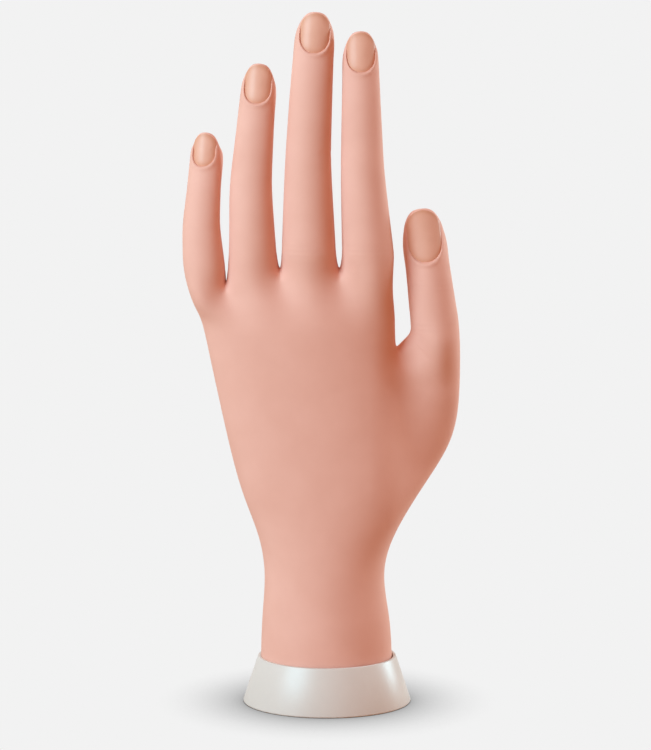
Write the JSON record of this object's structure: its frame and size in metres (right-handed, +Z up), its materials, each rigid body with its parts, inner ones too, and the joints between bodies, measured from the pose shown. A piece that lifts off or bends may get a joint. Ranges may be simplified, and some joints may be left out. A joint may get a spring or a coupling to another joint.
{
  "type": "nail practice hand",
  "caption": "Left hand for nail practice: soft cast over a bendable jointed skeleton, slip-in nails in cuticle slots, plugged upright onto an oval base.",
  "frame": {"origin": "centre of the base's underside, on the surface it stands on", "axes": "+Z up along the hand to the fingertips, -Y out of the back of the hand, +X towards the thumb"},
  "size_m": [0.09, 0.0484, 0.226],
  "materials": {
    "skin": "soft matte cast vinyl, warm pink",
    "nail": "satin tan-pink plastic",
    "base": "milky white, smooth",
    "skeleton": "natural white moulded",
    "steel": "plain bright"
  },
  "bodies": {
    "stand": {"base": "base"},
    "hand": {"wrist_socket": "skeleton", "palm_plate": "skeleton", "lower_plate_screw": "steel", "upper_plate_screw": "steel", "palm_skin": "skin", "little_finger_root_pin": "steel", "ring_finger_root_pin": "steel", "middle_finger_root_pin": "steel", "index_finger_root_pin": "steel", "thumb_root_pin": "steel"},
    "little_finger_root": {"little_finger_root_bone": "skeleton", "little_finger_root_skin": "skin", "little_finger_mid_pin": "steel"},
    "little_finger_mid": {"little_finger_mid_bone": "skeleton", "little_finger_mid_skin": "skin", "little_finger_tip_pin": "steel"},
    "little_finger_tip": {"little_finger_tip_bone": "skeleton", "little_finger_tip_skin": "skin"},
    "little_finger_nail": {"little_finger_nail": "nail"},
    "ring_finger_root": {"ring_finger_root_bone": "skeleton", "ring_finger_root_skin": "skin", "ring_finger_mid_pin": "steel"},
    "ring_finger_mid": {"ring_finger_mid_bone": "skeleton", "ring_finger_mid_skin": "skin", "ring_finger_tip_pin": "steel"},
    "ring_finger_tip": {"ring_finger_tip_bone": "skeleton", "ring_finger_tip_skin": "skin"},
    "ring_finger_nail": {"ring_finger_nail": "nail"},
    "middle_finger_root": {"middle_finger_root_bone": "skeleton", "middle_finger_root_skin": "skin", "middle_finger_mid_pin": "steel"},
    "middle_finger_mid": {"middle_finger_mid_bone": "skeleton", "middle_finger_mid_skin": "skin", "middle_finger_tip_pin": "steel"},
    "middle_finger_tip": {"middle_finger_tip_bone": "skeleton", "middle_finger_tip_skin": "skin"},
    "middle_finger_nail": {"middle_finger_nail": "nail"},
    "index_finger_root": {"index_finger_root_bone": "skeleton", "index_finger_root_skin": "skin", "index_finger_mid_pin": "steel"},
    "index_finger_mid": {"index_finger_mid_bone": "skeleton", "index_finger_mid_skin": "skin", "index_finger_tip_pin": "steel"},
    "index_finger_tip": {"index_finger_tip_bone": "skeleton", "index_finger_tip_skin": "skin"},
    "index_finger_nail": {"index_finger_nail": "nail"},
    "thumb_root": {"thumb_root_bone": "skeleton", "thumb_root_skin": "skin", "thumb_tip_pin": "steel"},
    "thumb_tip": {"thumb_tip_bone": "skeleton", "thumb_tip_skin": "skin"},
    "thumb_nail": {"thumb_nail": "nail"}
  },
  "joints": [
    {"name": "hand_lift", "type": "slide", "parent": "stand", "child": "hand", "axis": [0, 0, 1], "range_m": [0, 0.03]},
    {"name": "little_finger_knuckle", "type": "hinge", "parent": "hand", "child": "little_finger_root", "pos_m": [-0.0402, -0.0022, 0.14371], "axis": [-1, 0, 0], "range_deg": [-10, 60]},
    {"name": "little_finger_middle_joint", "type": "hinge", "parent": "little_finger_root", "child": "little_finger_mid", "pos_m": [-0.0402, -0.0018, 0.15771], "axis": [-1, 0, 0], "range_deg": [0, 70]},
    {"name": "little_finger_tip_joint", "type": "hinge", "parent": "little_finger_mid", "child": "little_finger_tip", "pos_m": [-0.0402, 0, 0.16912], "axis": [-1, 0, 0], "range_deg": [0, 45]},
    {"name": "little_finger_nail_slide", "type": "slide", "parent": "little_finger_tip", "child": "little_finger_nail", "axis": [0.0653, 0.2176, 0.9739], "range_m": [0, 0.012]},
    {"name": "ring_finger_knuckle", "type": "hinge", "parent": "hand", "child": "ring_finger_root", "pos_m": [-0.0241, -0.0022, 0.14921], "axis": [-1, 0, 0], "range_deg": [-10, 60]},
    {"name": "ring_finger_middle_joint", "type": "hinge", "parent": "ring_finger_root", "child": "ring_finger_mid", "pos_m": [-0.0241, -0.0018, 0.17052], "axis": [-1, 0, 0], "range_deg": [0, 70]},
    {"name": "ring_finger_tip_joint", "type": "hinge", "parent": "ring_finger_mid", "child": "ring_finger_tip", "pos_m": [-0.0241, 0, 0.18812], "axis": [-1, 0, 0], "range_deg": [0, 45]},
    {"name": "ring_finger_nail_slide", "type": "slide", "parent": "ring_finger_tip", "child": "ring_finger_nail", "axis": [0.0786, 0.185, 0.9796], "range_m": [0, 0.012]},
    {"name": "middle_finger_knuckle", "type": "hinge", "parent": "hand", "child": "middle_finger_root", "pos_m": [-0.0056, -0.0022, 0.15069], "axis": [-1, 0, 0], "range_deg": [-10, 60]},
    {"name": "middle_finger_middle_joint", "type": "hinge", "parent": "middle_finger_root", "child": "middle_finger_mid", "pos_m": [-0.0056, -0.0018, 0.17868], "axis": [-1, 0, 0], "range_deg": [0, 70]},
    {"name": "middle_finger_tip_joint", "type": "hinge", "parent": "middle_finger_mid", "child": "middle_finger_tip", "pos_m": [-0.0056, 0, 0.20249], "axis": [-1, 0, 0], "range_deg": [0, 45]},
    {"name": "middle_finger_nail_slide", "type": "slide", "parent": "middle_finger_tip", "child": "middle_finger_nail", "axis": [0.0646, 0.1724, 0.9829], "range_m": [0, 0.012]},
    {"name": "index_finger_knuckle", "type": "hinge", "parent": "hand", "child": "index_finger_root", "pos_m": [0.0117, -0.0022, 0.15069], "axis": [-1, 0, 0], "range_deg": [-10, 60]},
    {"name": "index_finger_middle_joint", "type": "hinge", "parent": "index_finger_root", "child": "index_finger_mid", "pos_m": [0.0117, -0.0018, 0.17519], "axis": [-1, 0, 0], "range_deg": [0, 70]},
    {"name": "index_finger_tip_joint", "type": "hinge", "parent": "index_finger_mid", "child": "index_finger_tip", "pos_m": [0.0117, 0, 0.19699], "axis": [-1, 0, 0], "range_deg": [0, 45]},
    {"name": "index_finger_nail_slide", "type": "slide", "parent": "index_finger_tip", "child": "index_finger_nail", "axis": [-0.013, 0.1735, 0.9847], "range_m": [0, 0.012]},
    {"name": "thumb_knuckle", "type": "hinge", "parent": "hand", "child": "thumb_root", "pos_m": [0.0335, 0.004, 0.1242], "axis": [-1, 0, 0], "range_deg": [-5, 40]},
    {"name": "thumb_tip_joint", "type": "hinge", "parent": "thumb_root", "child": "thumb_tip", "pos_m": [0.0335, 0.0046, 0.137], "axis": [-1, 0, 0], "range_deg": [0, 50]},
    {"name": "thumb_nail_slide", "type": "slide", "parent": "thumb_tip", "child": "thumb_nail", "axis": [-0.1201, 0.1317, 0.984], "range_m": [0, 0.012]}
  ]
}
